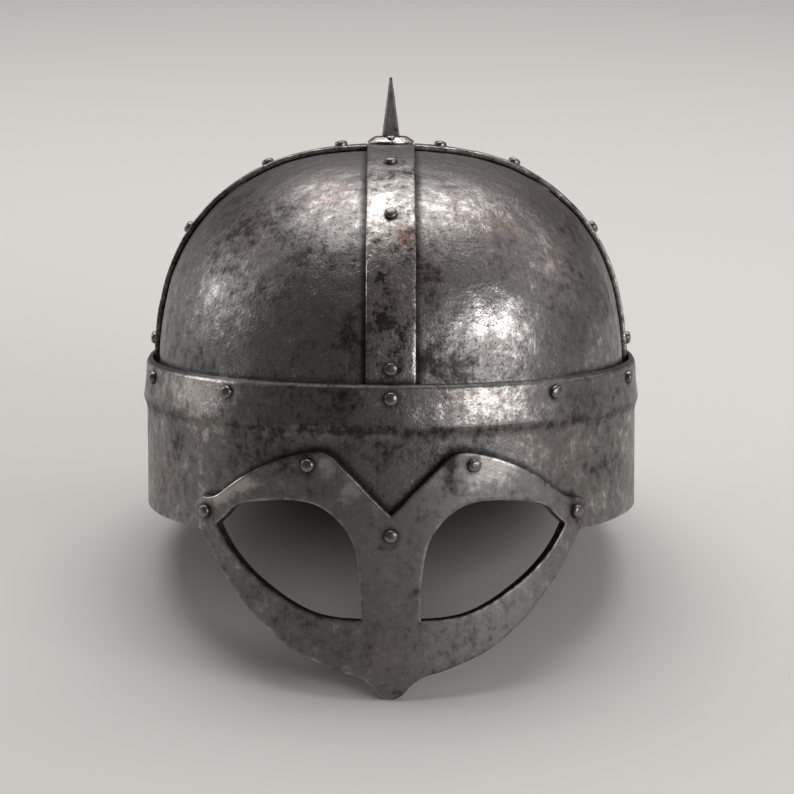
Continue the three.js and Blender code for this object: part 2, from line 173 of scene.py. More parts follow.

# %% [markdown]
# ## Forged iron
# The plates are wrought iron, hammered to shape, ground with a coarse stone and then left to
# tarnish. The eye sees four things: bright worn metal, a dull grey skin, near-black tarnish in
# clouds with ragged rims, and a few rust-brown specks. Fine pits and the grinding lines break up
# the highlights. All patterns are drawn on the helmet's own millimetres: a Mapping node undoes the
# stand matrix, so a noise scale is simply one over a size in millimetres. Grinding lines run up
# and down, so they are a noise on the angle round the helmet, stretched along the height. Real ones
# are finer than shows from here, so they are drawn 1.3 mm wide.
# Each mesh carries a few measures of its own: `edge_mm` and `joint_mm` are the distances to its
# own worn edge and to the rim of a piece that lies on it, `tone` leans a spot towards polished or
# tarnished and also lays on painted highlights and painted shade, and `rust` marks where specks
# gather.

# %% The patterns in the iron
NOISES = {  # size in millimetres, detail, harshness
    "clouds": (26, 4, 0.6),
    "blotches": (6, 5, 0.65),
    "spots": (3.2, 4, 0.55),
    "mottle": (1.3, 4, 0.6),
    "specks": (2.6, 4, 0.65),
    "pits": (1.0, 2, 0.5),
    "grain": (0.55, 2, 0.5),
}
STREAK_WIDTH = 1.3
STREAK_LENGTH = 26
STREAK_NOISE = {"Scale": 1, "Detail": 3, "Roughness": 0.6}


def iron_patterns(tree):
    """Every noise of the iron and every measure of its mesh, by name."""
    position = add(tree, "ShaderNodeTexCoord").outputs["Object"]
    upright = add(tree, "ShaderNodeMapping", {
        "Vector": position,
        "Location": stand.translation,
        "Rotation": (-LEAN, 0, 0),
        "Scale": (MM, MM, MM),
    }, vector_type="TEXTURE").outputs["Vector"]
    found = {}
    for name, (size, detail, harshness) in NOISES.items():
        found[name] = add(tree, "ShaderNodeTexNoise", {
            "Vector": upright, "Scale": 1 / size, "Detail": detail, "Roughness": harshness,
        }).outputs["Fac"]
    parts = add(tree, "ShaderNodeSeparateXYZ", {"Vector": upright}).outputs
    angle = add(tree, "ShaderNodeMath", {0: parts["X"], 1: parts["Y"]}, operation="ARCTAN2").outputs[0]
    along = add(tree, "ShaderNodeCombineXYZ", {
        "X": product(tree, angle, SKIRT_HALF_WIDTH / STREAK_WIDTH),
        "Y": product(tree, parts["Z"], 1 / STREAK_LENGTH),
    }).outputs["Vector"]
    found["streaks"] = add(tree, "ShaderNodeTexNoise", {"Vector": along, **STREAK_NOISE}).outputs["Fac"]
    for name in ("edge_mm", "joint_mm", "tone", "rust"):
        found[name] = add(tree, "ShaderNodeAttribute", attribute_name=name).outputs["Fac"]
    return found


print("noises from", NOISES["grain"][0], "to", NOISES["clouds"][0], "mm")

# %% [markdown]
# ## The recipe
# Noises of falling size, the grinding lines and the tone add up to the wear, and with the tone come
# the painted highlights and painted shade that it carries. Little wear shows tarnish, middling wear
# the grey skin and much wear polished metal, so the tarnish colour also stands for painted shade and
# the polished one for painted highlights. A mask is a noise or a measure, spread softly between two
# limits, and the colours go on in layers, each through its masks: an edge is bright only where the
# wear has reached it, rust needs both a patch and a speck, and a near-black painted contact shadow,
# with some grime, lies in a ragged line along a joint. The straps are the most mottled, the rivets'
# heads are the smoothest, as the hammer left them, and the spike is dull from the forge.

# %% The recipe for forged iron
RUST = "#96655a"
# Near-black painted contact shadow, with some grime, laid along the joints between pieces.
SHADOW_AND_GRIME = "#100f0e"
SHADOW_AND_GRIME_RAGGEDNESS = 2.4
PIT_DARKNESS = 0.85
EDGE_POLISH = 0.8
RUST_SHARE = 0.5
SHADOW_AND_GRIME_SHARE = 0.8
TARNISH_ROUGHER = 0.14
POLISH_SMOOTHER = 0.08
DIRT_ROUGHER = 0.15


def forged_iron(name, tarnish_and_shade, skin, polished_and_highlight, roughness, mottling, grinding, relief):
    material = bpy.data.materials.new(name)
    material.use_nodes = True
    tree = material.node_tree
    tree.nodes.clear()
    found = iron_patterns(tree)
    # The tone brings painted highlights and painted shade into this sum, as well as wear.
    wear_and_painted_light = total(tree, (
        (found["clouds"], 0.5, 0.55 * mottling),
        (found["blotches"], 0.5, 0.6 * mottling),
        (found["spots"], 0.5, 0.5 * mottling),
        (found["mottle"], 0.5, 0.35 * mottling),
        (found["streaks"], 0.5, 0.35 * grinding),
        (found["tone"], -0.5, 1.0),
    ))
    ragged_edge = total(tree, ((found["edge_mm"], 0, 1), (found["blotches"], 0, -1)))
    ragged_joint = total(tree, ((found["joint_mm"], 0, 1), (found["blotches"], 0, -SHADOW_AND_GRIME_RAGGEDNESS)))

    masks = {}
    for mask, value, none_at, full_at in (
        ("skin", wear_and_painted_light, 0.1, 0.54),
        ("polish_and_highlight", wear_and_painted_light, 0.52, 0.95),
        ("worn", wear_and_painted_light, 0.35, 0.8),
        ("smooth", wear_and_painted_light, 0.2, 0.9),
        ("edge", ragged_edge, 0.3, -0.5),
        ("shadow_and_grime", ragged_joint, 2.2, -0.8),
        ("specks", found["specks"], 0.42, 0.64),
        ("pits", found["pits"], 0.4, 0.31),
        ("pitted", found["blotches"], 0.6, 0.42),
        ("raised", found["pits"], 0.28, 0.42),
    ):
        limits = {"Value": value, "From Min": none_at, "From Max": full_at}
        spread = add(tree, "ShaderNodeMapRange", limits, interpolation_type="SMOOTHSTEP")
        masks[mask] = spread.outputs["Result"]
    rusted = product(tree, found["rust"], masks["specks"])

    colour = linear(tarnish_and_shade)
    for above, *factors in (
        (skin, masks["skin"]),
        (polished_and_highlight, masks["polish_and_highlight"]),
        (tarnish_and_shade, masks["pits"], masks["pitted"], PIT_DARKNESS * relief),
        (polished_and_highlight, masks["edge"], masks["worn"], EDGE_POLISH),
        (RUST, rusted, RUST_SHARE),
        # The painted contact shadow with grime goes on last.
        (SHADOW_AND_GRIME, masks["shadow_and_grime"], SHADOW_AND_GRIME_SHARE),
    ):
        layer = {0: product(tree, *factors), 6: colour, 7: linear(above)}
        colour = add(tree, "ShaderNodeMix", layer, data_type="RGBA").outputs[2]

    rough = total(tree, (
        (roughness + TARNISH_ROUGHER, 0, 1),
        (masks["smooth"], 0, -TARNISH_ROUGHER - POLISH_SMOOTHER),
        (rusted, 0, DIRT_ROUGHER),
        (masks["shadow_and_grime"], 0, DIRT_ROUGHER),
    ))
    height = total(tree, (
        (masks["raised"], 0.5, 0.06 * relief),
        (found["grain"], 0.5, 0.05 * relief),
        (found["mottle"], 0.5, 0.13 * relief),
        (found["streaks"], 0.5, 0.035 * grinding),
        (found["blotches"], 0.5, 0.42 * relief),
    ))
    bump = add(tree, "ShaderNodeBump", {"Height": height, "Strength": 1.0, "Distance": MM})
    shader = add(tree, "ShaderNodeBsdfPrincipled", {
        "Base Color": colour,
        "Metallic": 1.0,
        "Roughness": rough,
        "Normal": bump.outputs["Normal"],
    })
    add(tree, "ShaderNodeOutputMaterial", {"Surface": shader.outputs["BSDF"]})
    return material


# %% The irons of the helmet
# The tarnish colour also paints shade and the polished colour also paints highlights, wherever the tone
# leans.
IRONS = {  # slot: name, tarnish, skin, polished, roughness, mottling, grinding, relief
    "plate_iron": ("forged_iron_plate", "#3b3837", "#7f7c79", "#cfcac6", 0.34, 1.15, 0.8, 1),
    "strap_iron": ("forged_iron_strap", "#35312f", "#85817d", "#d4cdc6", 0.33, 1.8, 0.8, 1),
    "band_iron": ("forged_iron_band", "#363332", "#7a7774", "#cfc9c4", 0.35, 1.15, 0.5, 0.8),
    "guard_iron": ("forged_iron_guard", "#3b3938", "#7c7977", "#c4bfba", 0.4, 1.1, 0.5, 0.3),
    "rivet_iron": ("hammered_iron_rivet", "#3a3735", "#7d7975", "#c4beb8", 0.26, 0.8, 0, 0.4),
    "spike_iron": ("forged_iron_spike", "#3a3736", "#7d7976", "#b5b0ab", 0.44, 1.1, 0.3, 0.5),
}
iron = {slot: forged_iron(*values) for slot, values in IRONS.items()}
print("materials", sorted(iron))

# %% [markdown]
# ## From a bmesh to a piece of the helmet
# Every piece ends the same way: its surface gets the slight unevenness that hammering leaves, its
# measures are written on its vertices, the stand matrix takes it to its place, and it takes over
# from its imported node. The unevenness is one field for the whole helmet, so pieces that lie on
# each other move together and keep their gap. It lies a little inwards on the whole, so the finished
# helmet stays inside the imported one's box.

# %% Hammered unevenness
WAVE_SIZE = 38
WAVE_HEIGHT = 0.5
BLOW_SIZE = 8
BLOW_HEIGHT = 0.22
CALM_SHARE = 0.35
CALM_TOP = 30
CALM_RUN = 20
INWARDS = 0.33


def away_from_middle(point):
    """The direction straight out of the helmet's wall, near enough for small moves."""
    return Vector((
        point.x / SKIRT_HALF_WIDTH ** 2,
        point.y / SKIRT_HALF_LENGTH ** 2,
        max(point.z - CROWN_FOOT, 0) / CROWN_RISE ** 2,
    )).normalized()


def dent(point):
    """How far hammering has moved the iron here. The skirt and the guard were planished calmer."""
    liveliness = min(max((point.z - CALM_TOP) / CALM_RUN, CALM_SHARE), 1)
    wave = noise.noise(point / WAVE_SIZE) * WAVE_HEIGHT
    blows = noise.noise(point / BLOW_SIZE) * BLOW_HEIGHT * liveliness
    return away_from_middle(point) * (wave + blows - INWARDS)


def hammer(bm):
    for vertex in bm.verts:
        vertex.co += dent(vertex.co)


print("the crown's top moves by", [round(value, 2) for value in dent(Vector((0, 0, CROWN_TOP)))], "mm")

# %% [markdown]
# ## Wear, tarnish, rust and painted highlights
# Patches mark wear, tarnish and rust, and the brightened ones are also painted highlights where the
# lamps catch the iron. Each patch is a soft oval on the front of a piece: its middle in millimetres
# across and up, its half width and half height, how much it is brightened or darkened, and how
# rusty it is.

# %% Patches
# A positive tone is a painted highlight as well as polish: those patches sit where the lamps catch the
# iron.
PATCHES = {  # middle across and up, half width, half height, tone, rust
    "plate": (
        (-16, 86.5, 7, 26, -0.17, 0.2),
        (15, 101.7, 6, 12, -0.2, 0.5),
        (15, 66, 7, 7, -0.28, 0),
        (15, 84, 5, 8, -0.14, 0),
        (26, 62, 8, 4, -0.14, 0),
        (-38, 86, 16, 18, -0.08, 0),
        (-54, 116, 12, 11, -0.2, 0.3),
        (-66, 104, 10, 12, -0.1, 0),
        (-36, 110, 12, 6, -0.08, 0),
        (60, 92, 5, 9, -0.06, 0),
        (73, 114, 8, 12, -0.16, 0.5),
        (84, 83, 5, 10, -0.14, 0),
        (-68, 87.5, 6, 12, 0.06, 0),
        (-73, 66, 9, 6, -0.12, 0),
        (43, 82, 12, 10, 0.34, 0),
        (30, 68, 10, 6, -0.1, 0),
        (26, 122, 19, 8, 0.16, 0.4),
        (-24, 129, 12, 9, 0.14, 0.7),
        (48, 116, 16, 14, 0.06, 0.7),
        (62, 100, 6, 8, 0, 0.8),
    ),
    "strap": (
        (0, 120, 12, 10, 0.2, 0.2),
        (0, 92, 12, 17, -0.14, 0.3),
        (-3, 84, 4, 3, -0.3, 0),
        (5, 78, 3, 4, -0.25, 0),
        (-4, 98, 3, 3, -0.25, 0),
        (4, 95, 3, 3, 0.15, 0),
        (8, 70, 3, 12, 0.26, 0),
        (-8, 98, 3, 8, 0.1, 0),
        (4, 112, 3, 5, -0.1, 1),
    ),
    "band": (
        (-24, 53, 24, 9, -0.18, 0),
        (82, 50, 11, 7, -0.14, 0),
        (33, 53, 25, 8, 0.2, 0.2),
        (-71, 53, 13, 8, 0.55, 0),
        (-83, 34, 4, 7, -0.3, 0),
        (-91, 19, 4, 6, 0, 1),
        (0, 36, 28, 10, -0.16, 0),
        (-50, 31, 16, 9, -0.12, 0),
        (-66, 38, 12, 4, 0.06, 0),
        (62, 28, 18, 12, 0.08, 0.2),
        (78, 22, 8, 6, -0.2, 0),
    ),
    "guard": (
        (23, 28, 4, 8, -0.34, 0),
        (37, 28, 13, 6, 0.45, 0),
        (-68, 17, 6, 4, 0.7, 0.3),
        (-58, 21, 7, 3, 0.6, 0),
        (-24, 30, 4, 4, 0.5, 0),
        (-15, 21, 5, 6, 0.4, 0),
        (12, 14, 4, 6, -0.12, 0),
        (-36, 30, 10, 6, -0.16, 0),
        (0, -2, 8, 8, -0.06, 0),
        (-2, -43, 4, 4, 0, 0.9),
        (-69, 12, 4, 4, 0, 0.6),
        (72, 8, 6, 8, -0.1, 0.3),
    ),
    "spike": (
        (1.5, CROWN_TOP + 5.5, 2, 1.2, -0.35, 0),
    ),
}


TONE = 0
RUSTINESS = 1


def patch(kind, point, effect):
    """What all patches of a kind add at a point, for one of their two effects."""
    added = 0
    if point.y < 0:
        for x, z, half_width, half_height, *effects in PATCHES.get(kind, ()):
            across = (point.x - x) / half_width
            up = (point.z - z) / half_height
            added += effects[effect] * math.exp(-across ** 2 - up ** 2)
    return added


print(sum(len(rows) for rows in PATCHES.values()), "patches of wear, tarnish and rust")

# %% [markdown]
# ## Measures and the finished piece
# The distances count only on the outside of a piece. Where a surface turns away, it is set far from
# any worn edge, and near enough to a joint to get a little painted shade and grime. A search tree
# finds the nearest point of a rim quickly.

# %% Measures on the vertices, and the finished piece
FAR = 20.0
# Surfaces turned away count as this near a joint, so they get painted shade and grime.
TURNED_AWAY_JOINT_MM = 1.5
CORNER_ANGLE = 50
OUTWARD = 0.5
JOINT_OUTWARD = 0.75


def tree_of(points):
    found = KDTree(len(points))
    for index, point in enumerate(points):
        found.insert(point, index)
    found.balance()
    return found


def set_measure(bm, name, measure):
    layer = bm.verts.layers.float.get(name) or bm.verts.layers.float.new(name)
    for vertex in bm.verts:
        vertex[layer] = measure(vertex)


def faces_out(vertex, facing=OUTWARD):
    """Whether the surface looks far enough out: 1 is straight out of the wall, 0 is along it."""
    return away_from_middle(vertex.co).dot(vertex.normal) > facing


def as_object(bm, name):
    """Hands a bmesh over to an object of its own."""
    mesh = bpy.data.meshes.new(name)
    bm.to_mesh(mesh)
    bm.free()
    made = bpy.data.objects.new(name, mesh)
    bpy.context.scene.collection.objects.link(made)
    return made


def finish_piece(bm, name, slot, nodes, cover=None, edge=None, sharpest=CORNER_ANGLE,
                 facing=JOINT_OUTWARD):
    """Writes the measures, stands the piece in its place and lets it take over from its nodes."""
    def from_joint(vertex):
        if not cover:
            return FAR
        return cover.find(vertex.co)[2] if faces_out(vertex, facing) else TURNED_AWAY_JOINT_MM

    set_measure(bm, "joint_mm", from_joint)
    if edge:
        set_measure(bm, "edge_mm", edge)
    elif not bm.verts.layers.float.get("edge_mm"):
        set_measure(bm, "edge_mm", lambda vertex: FAR)
    kind = slot.split("_")[0]
    if not bm.verts.layers.float.get("tone"):
        set_measure(bm, "tone", lambda vertex: patch(kind, vertex.co, TONE))
    set_measure(bm, "rust", lambda vertex: patch(kind, vertex.co, RUSTINESS))
    bm.transform(stand)
    piece = as_object(bm, name)
    mesh = piece.data
    mesh.shade_smooth()
    mesh.set_sharp_from_angle(angle=math.radians(sharpest))
    mesh.materials.append(iron[slot])
    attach(piece, "root")
    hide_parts(*nodes)
    print(name, sum(len(face.vertices) - 2 for face in mesh.polygons), "triangles")


print("a plain surface counts as", FAR, "mm away from any edge or joint")

# %% [markdown]
# ## The crown's shape
# From above the helmet is a superellipse, a little squarer than an oval, and so is its arch from
# the side. One function finds where a direction from the crown's centre meets any layer, and all
# plates and straps are laid on it.

# %% The crown's surface
FITTING_ROUNDS = 4


def crown_point(direction, outset):
    """Where a direction from the crown's middle meets a layer of iron."""
    powers = abs(direction.x) ** PLAN_EXPONENT + abs(direction.y) ** PLAN_EXPONENT
    level = powers ** (1 / PLAN_EXPONENT)
    reach = (level ** CROWN_EXPONENT + abs(direction.z) ** CROWN_EXPONENT) ** (-1 / CROWN_EXPONENT)
    return Vector((
        (SKIRT_HALF_WIDTH + outset) * direction.x * reach,
        (SKIRT_HALF_LENGTH + outset) * direction.y * reach,
        CROWN_FOOT + (CROWN_RISE + outset - STRAP_OUTSET) * direction.z * reach,
    ))


def strip_point(angle, across, outset, towards_y):
    """A point `across` mm beside the middle line of an arch, `angle` down from the top."""
    half = (SKIRT_HALF_WIDTH if towards_y else SKIRT_HALF_LENGTH) + outset
    beside = across / half
    for _ in range(FITTING_ROUNDS):
        down = (beside, math.sin(angle)) if towards_y else (math.sin(angle), beside)
        point = crown_point(Vector((*down, math.cos(angle))), outset)
        beside *= across / (point.x if towards_y else point.y) if across else 0
    return point


print("strap's outside at the front foot", strip_point(-math.pi / 2, 0, STRAP_OUTSET, True))

# %% [markdown]
# ## Edges that lie over other pieces
# A painted contact shadow, with some grime, darkens the iron along the edge of whatever lies on a
# plate. These lists of points follow the straps' edges and the top of the band, and the rims of the
# rivets are added from the packed model. The lengthwise axis of a rivet is the direction in which
# its points spread most.

# %% Where the rivets are
ROUND_STEPS = 24
POINT_DIGITS = 7
RIM_SHARE = 0.6
RIVET = {"radius": 2.55, "height": 1.9, "rounding": 1.5, "shank": 1.2, "tail": 2.6}
PIN = {"radius": 1.6, "height": 0.9, "rounding": 0.7, "shank": 0.8, "tail": 0.8}


def fastener_places(prefix):
    """Node, top, direction and length of each packed fastener, in the upright helmet's terms."""
    places = []
    centre = stand @ Vector((0, 0, CROWN_FOOT))
    for node in sorted(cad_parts):
        if not node.startswith(prefix):
            continue
        corners = [np.round(vertex.co, POINT_DIGITS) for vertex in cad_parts[node].data.vertices]
        points = np.unique(corners, axis=0)
        middle = points.mean(0)
        outward = Vector(np.linalg.svd(points - middle)[2][0])
        if outward.dot(Vector(middle) - centre) < 0:
            outward.negate()
        heights = (points - middle) @ np.array(outward)
        top = Vector(middle) + outward * float(heights.max())
        places.append((node, stand.inverted() @ top, (lean_back.inverted() @ outward).normalized(),
                       float(heights.max() - heights.min()) / MM))
    return places


rivets = fastener_places("rivet_")
pins = fastener_places("pin_")
rivet_rims = []
for node, top, outward, length in rivets:
    foot = top - outward * RIVET["height"]
    beside = outward.orthogonal().normalized() * RIVET["radius"] * RIM_SHARE
    for step in range(ROUND_STEPS):
        turn = Matrix.Rotation(2 * math.pi * step / ROUND_STEPS, 3, outward)
        rivet_rims.append(foot + turn @ beside)
print(len(rivets), "rivets and", len(pins), "pins")

# %% The straps' edges and the band's top
EDGE_STEPS = 220
PLAN_STEPS = 1440
strap_edges = []
for step in range(EDGE_STEPS + 1):
    angle = math.pi * (step / EDGE_STEPS - 0.5)
    for side in (-0.5, 0.5):
        strap_edges.append(strip_point(angle, side * STRAP_WIDTH, PLATE_OUTSET, True))
        strap_edges.append(strip_point(angle, side * STRAP_WIDTH, PLATE_OUTSET, False))


def signed_power(value, power):
    return math.copysign(abs(value) ** power, value)


def plan_point(turn, outset, height=0.0):
    """A point of the plan: turn 0 is the middle of the front, and it grows towards +X."""
    return Vector((
        (SKIRT_HALF_WIDTH + outset) * signed_power(math.sin(turn), 2 / PLAN_EXPONENT),
        -(SKIRT_HALF_LENGTH + outset) * signed_power(math.cos(turn), 2 / PLAN_EXPONENT),
        height,
    ))


plan_turns = [2 * math.pi * step / PLAN_STEPS for step in range(PLAN_STEPS)]
band_top = [plan_point(turn, STRAP_OUTSET, BAND_HEIGHT) for turn in plan_turns]
print(len(strap_edges), "points on the straps' edges")

# %% [markdown]
# ## Crown plates
# Each quarter plate was dished over a wooden form. A grid is the natural start: one direction runs
# round the helmet and one from the rim to the top. The grid's points are laid on the crown, two
# planes trim it to the seams, and Solidify gives the iron its thickness. Between the straps the
# foot of each plate is pressed out towards the band, so that no daylight falls in behind the band.

# %% Helpers for sheets and walls
def baked(bm, *modifiers):
    """A bmesh with modifiers applied: each is a kind and its settings."""
    working = as_object(bm, "working")
    mesh = working.data
    for kind, settings in modifiers:
        modifier = working.modifiers.new(kind, kind)
        for name, value in settings.items():
            setattr(modifier, name, value)
    evaluated = working.evaluated_get(bpy.context.evaluated_depsgraph_get())
    result = bmesh.new()
    result.from_mesh(evaluated.to_mesh())
    bpy.data.objects.remove(working)
    bpy.data.meshes.remove(mesh)
    return result


def face_outwards(bm):
    """Turns a closed mesh's faces out, or an open shell's away from the helmet's middle."""
    bmesh.ops.recalc_face_normals(bm, faces=bm.faces[:])
    if all(edge.is_manifold for edge in bm.edges):
        inside_out = bm.calc_volume(signed=True) < 0
    else:
        middle = Vector((0, 0, CROWN_FOOT))
        inside_out = sum(face.normal.dot(face.calc_center_median() - middle) for face in bm.faces) < 0
    if inside_out:
        bmesh.ops.reverse_faces(bm, faces=bm.faces[:])


def trim(bm, point, direction):
    """Cuts away what lies on the far side of a plane."""
    everything = bm.verts[:] + bm.edges[:] + bm.faces[:]
    bmesh.ops.bisect_plane(bm, geom=everything, plane_co=point, plane_no=direction, clear_outer=True)


def wall(thickness, rounding=0.3):
    """The modifiers that thicken a sheet inwards and take the sharpness off its corners."""
    corner = math.radians(CORNER_ANGLE)
    return (
        ("SOLIDIFY", {"thickness": thickness, "offset": -1, "use_even_offset": True}),
        ("BEVEL", {"width": rounding, "segments": 2, "limit_method": "ANGLE", "angle_limit": corner}),
    )


print("a wall is made by", [kind for kind, settings in wall(PLATE_WALL)])

# %% The four plates
PLATE_STEPS = 116
SEAM = 3
PRESSED_OUT = 2.1
PRESSED_RUN = 5
PRESSED_BESIDE = 8
PRESSED_MARGIN = 1
# Along these edges the plates get painted contact shadow with grime.
covers_of_plates = tree_of(strap_edges + band_top + rivet_rims)


def smooth(value):
    """A soft step from 0 to 1."""
    share = min(max(value, 0), 1)
    return share * share * (3 - 2 * share)


def press_out(bm):
    """Between the straps, the plates' feet were pressed out against the band that holds them."""
    for vertex in bm.verts:
        below = smooth((BAND_HEIGHT - PRESSED_MARGIN - vertex.co.z) / PRESSED_RUN)
        beside_strap = min(abs(vertex.co.x), abs(vertex.co.y)) - STRAP_WIDTH / 2 - PRESSED_MARGIN
        outward = away_from_middle(Vector((vertex.co.x, vertex.co.y, 0)))
        vertex.co += outward * PRESSED_OUT * below * smooth(beside_strap / PRESSED_BESIDE)


def crown_plate(sideways, backwards):
    bm = bmesh.new()
    bmesh.ops.create_grid(bm, x_segments=PLATE_STEPS, y_segments=PLATE_STEPS, size=1)
    for vertex in bm.verts:
        turn = (vertex.co.x + 1) / 2 * math.pi / 2
        down = (vertex.co.y + 1) / 2 * math.pi / 2
        flat = (sideways * math.sin(turn) * math.sin(down), backwards * math.cos(turn) * math.sin(down))
        vertex.co = crown_point(Vector((*flat, math.cos(down))), PLATE_OUTSET)
    trim(bm, (sideways * SEAM / 2, 0, 0), (-sideways, 0, 0))
    trim(bm, (0, backwards * SEAM / 2, 0), (0, -backwards, 0))
    face_outwards(bm)
    bm = baked(bm, *wall(PLATE_WALL))
    press_out(bm)
    hammer(bm)
    return bm


for end, backwards in (("front", -1), ("back", 1)):
    for side, sideways in (("left", -1), ("right", 1)):
        node = f"crown_plate_{end}_{side}"
        plate = crown_plate(sideways, backwards)
        finish_piece(plate, f"iron_{node}", "plate_iron", [node], covers_of_plates)

# %% [markdown]
# ## Straps
# A strap is a flat bar, bent over the crown while hot. It starts as a flat grid of the bar's own
# width, is laid along an arch, and gets its thickness and softly worn corners. The strap over the
# sides is cut where it butts against the one that runs from front to back. A slow wave along
# its edges keeps it from looking machined. The imported pieces lie a clearance apart, which would
# let slits of daylight through, so straps, rivet heads and the spike's foot are seated a little
# deeper and take up most of it. A strap's sides count as facing out too, so the painted contact
# shadow and grime on them follow the distance to a joint.

# %% Straps
STRAP_ROWS = 12
STRAP_STEPS = 200
EDGE_WAVE = 0.18
EDGE_WAVE_SIZE = 22
EDGE_WAVE_SEED = 7
EDGE_ROUNDING = 0.55
SEAT = 0.22
STRAP_OUTWARD = -0.3
# Along the band's top and the rivets the straps get painted contact shadow with grime.
covers_of_straps = tree_of(band_top + rivet_rims)


def strap(towards_y, from_top):
    bm = bmesh.new()
    bmesh.ops.create_grid(bm, x_segments=STRAP_ROWS, y_segments=STRAP_STEPS, size=1)
    for vertex in bm.verts:
        share = vertex.co.x
        angle = vertex.co.y * math.pi / 2
        waves_along = angle * SKIRT_HALF_WIDTH / EDGE_WAVE_SIZE
        across = share * STRAP_WIDTH / 2
        across += noise.noise((waves_along, share, EDGE_WAVE_SEED)) * EDGE_WAVE * abs(share)
        vertex.co = strip_point(angle, across, STRAP_OUTSET, towards_y)
    for sideways in from_top:
        trim(bm, (sideways * (STRAP_WIDTH / 2 + CLEARANCE - SEAT), 0, 0), (-sideways, 0, 0))
    face_outwards(bm)
    bm = baked(bm, *wall(STRAP_WALL + SEAT, EDGE_ROUNDING))
    hammer(bm)
    bm.normal_update()
    return bm


def from_strap_edge(axis):
    """The measure of a strap's worn edges, which lie along the other axis."""
    return lambda vertex: max(STRAP_WIDTH / 2 - abs(vertex.co[axis]), 0) if faces_out(vertex) else FAR


finish_piece(strap(True, ()), "iron_front_back_strap", "strap_iron", ["front_back_strap"],
             covers_of_straps, from_strap_edge(0), facing=STRAP_OUTWARD)
for side, sideways in (("left", -1), ("right", 1)):
    node = f"side_strap_{side}"
    finish_piece(strap(False, (sideways,)), f"iron_{node}", "strap_iron", [node],
                 covers_of_straps, from_strap_edge(1), facing=STRAP_OUTWARD)

# %% [markdown]
# ## The guard's outline
# The guard is a flat plate, cut out and then bent round the brow. Its outline is drawn flat, as the
# smith would chalk it: `along` counts from the middle to the temple, and the other column up or
# down, each as a share of the size that it follows. A smooth curve goes through the points, and
# the corners stay where two curves meet.

# %% The guard's sizes and tables
GUARD_REACH = 84.8
BROW_HEIGHT = 34.4
BROW_WIDTH = 18.5
CHIN_HEIGHT = 29.7
NOSE_WIDTH = 22.6
TEMPLE_WIDTH = 12.3
GUARD_NOTCH = 0.32
OUTLINE_SPACING = 1.1
GUARD_UPPER = (  # along the reach, up the brow height
    (0.238, 0.901), (0.276, 0.968), (0.33, 1.004), (0.434, 0.959), (0.518, 0.892), (0.613, 0.799),
    (0.706, 0.68), (0.787, 0.555), (0.85, 0.453), (0.907, 0.41), (0.954, 0.405), (0.99, 0.34),
    (1, 0.24), (0.985, 0.13),
)
GUARD_LOWER = (  # along the reach, down the drop
    (0.954, -0.02), (0.861, 0.166), (0.749, 0.345), (0.62, 0.524), (0.45, 0.7), (0.261, 0.814),
    (0.153, 0.857), (0.106, 0.897), (0.079, 0.933), (0.057, 0.972), (0.03, 1),
)
EYE_UPPER = (  # along the hole from the nose, up from its floor
    (0, 0), (0.002, 0.18), (0.01, 0.38), (0.04, 0.615), (0.1, 0.775), (0.19, 0.9), (0.3, 0.978),
    (0.44, 1), (0.6, 0.985), (0.75, 0.955), (0.86, 0.9), (0.93, 0.815), (1, 0.742),
)
EYE_LOWER = (  # the same way back along the cheek
    (1, 0.742), (0.955, 0.655), (0.87, 0.52), (0.74, 0.37), (0.6, 0.245), (0.45, 0.13),
    (0.3, 0.045), (0.15, 0.008), (0, 0),
)


def smooth_run(points):
    """Points about evenly spaced on a smooth curve through the given ones, without the last.

    The curve's direction at each point is that from its neighbour to its other neighbour, and a
    sixth of that way is where a Bezier curve wants its handle.
    """
    ends = [points[0], *points, points[-1]]
    run = []
    for before, start, end, after in zip(ends, ends[1:], ends[2:], ends[3:]):
        steps = max(2, round((end - start).length / OUTLINE_SPACING) + 1)
        handles = (start + (end - before) / 6, end - (after - start) / 6)
        run += interpolate_bezier(start, *handles, end, steps)[:-1]
    return run


def guard_outline():
    """Half of the outline, from the notch above the nose to the nub, and its mirror image."""
    upper = [Vector((along * GUARD_REACH, up * BROW_HEIGHT, 0)) for along, up in GUARD_UPPER]
    lower = [Vector((along * GUARD_REACH, -down * GUARD_DROP, 0)) for along, down in GUARD_LOWER]
    notch = Vector((0, GUARD_NOTCH * BROW_HEIGHT, 0))
    right = smooth_run([notch, upper[0]]) + smooth_run(upper + lower) + [lower[-1]]
    left = [Vector((-point.x, point.y, 0)) for point in reversed(right[1:])]
    return right + smooth_run([lower[-1], left[0]])[1:] + left


def eye_outline(sideways, margin=0.0, temple_margin=0.0):
    """An eye hole, or a wider one with a margin all round and one more at the temple."""
    nose = NOSE_WIDTH / 2 - margin
    length = GUARD_REACH - TEMPLE_WIDTH + temple_margin - nose
    floor = CHIN_HEIGHT - GUARD_DROP - margin
    height = BROW_HEIGHT - BROW_WIDTH + margin - floor
    run = []
    for table in (EYE_UPPER, EYE_LOWER):
        corners = [Vector((nose + along * length, floor + up * height, 0)) for along, up in table]
        run += smooth_run(corners)
    return [Vector((sideways * point.x, point.y, 0)) for point in run]


print(len(guard_outline()), "points on the guard's outline")

# %% [markdown]
# ## Bending a flat plate round the brow
# Distances along the flat plate become distances along the helmet's plan, so nothing stretches. A
# long table of the plan's points gives the place for any distance.

# %% The bend
half_turns = [math.pi * (2 * step / PLAN_STEPS - 1) for step in range(PLAN_STEPS + 1)]
plan_line = np.array([plan_point(turn, GUARD_OUTSET)[:2] for turn in half_turns])
plan_length = np.concatenate([[0], np.cumsum(np.linalg.norm(np.diff(plan_line, axis=0), axis=1))])
plan_length -= plan_length[-1] / 2


